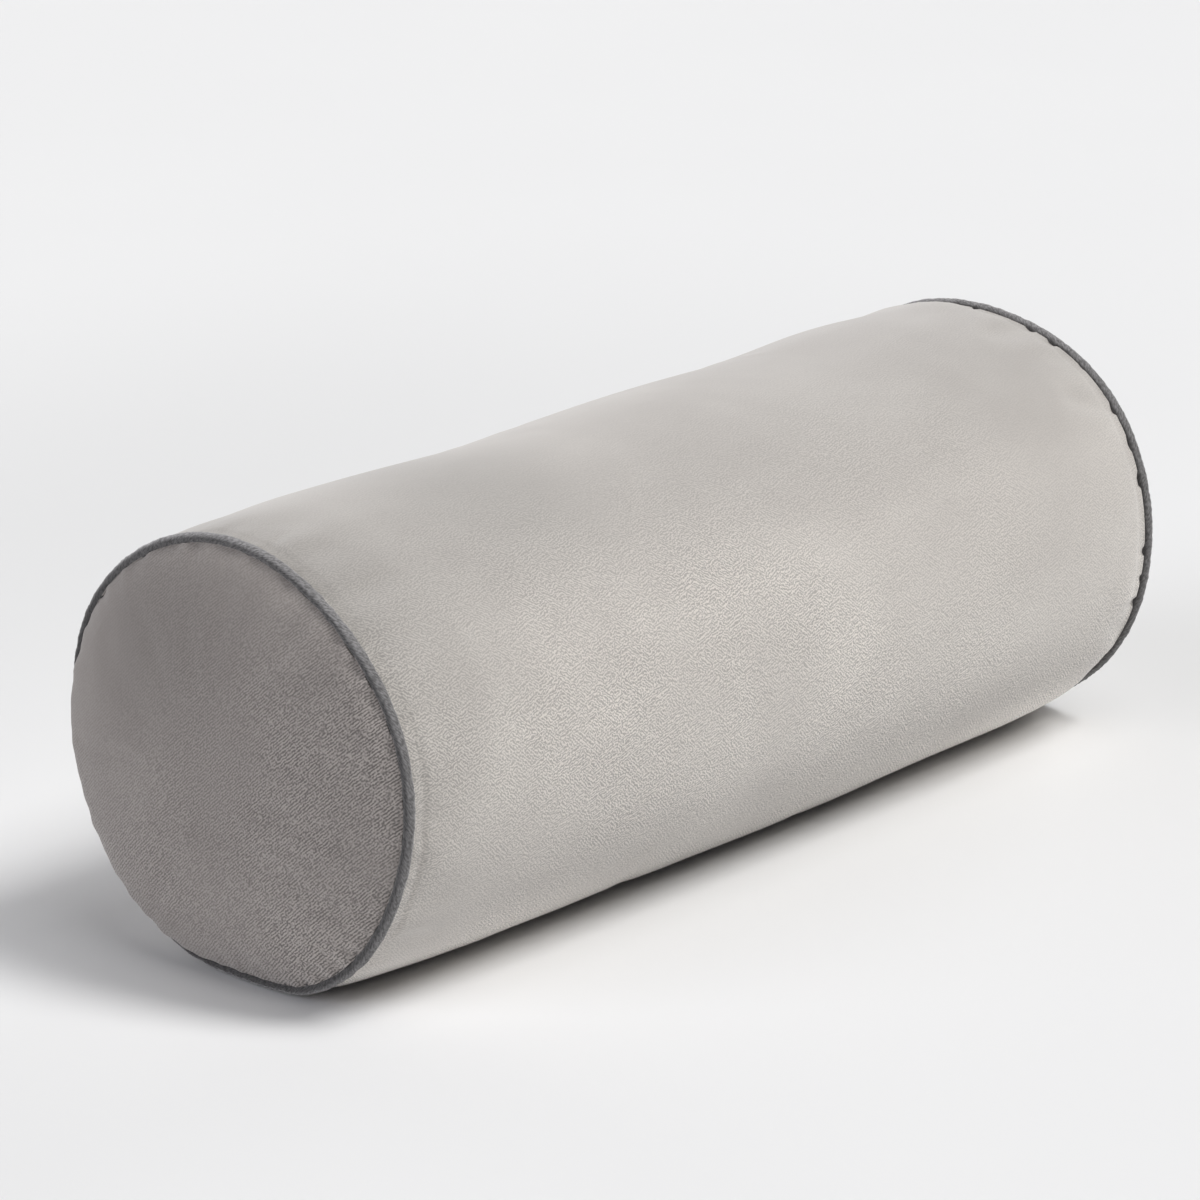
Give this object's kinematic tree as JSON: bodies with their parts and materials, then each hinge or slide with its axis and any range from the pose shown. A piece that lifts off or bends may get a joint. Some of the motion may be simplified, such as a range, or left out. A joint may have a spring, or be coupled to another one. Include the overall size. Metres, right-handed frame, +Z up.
{
  "type": "bolster cushion",
  "caption": "Round bolster cushion with domed end panels and contrast piping at both end seams, lying on its side, for a bed, sofa or bench.",
  "frame": {"origin": "on the surface the cushion lies on, below the middle of its bounding box", "axes": "+X along the cushion's axis towards the right end, +Z up, -Y towards the front"},
  "size_m": [0.4812, 0.18, 0.1727],
  "materials": {
    "velvet": "short-pile velvet, light warm grey",
    "piping_velvet": "short-pile velvet, dark grey"
  },
  "bodies": {
    "root": {"barrel_panel": "velvet", "end_panel_left": "velvet", "end_panel_right": "velvet", "piping_left": "piping_velvet", "piping_right": "piping_velvet"}
  },
  "joints": []
}
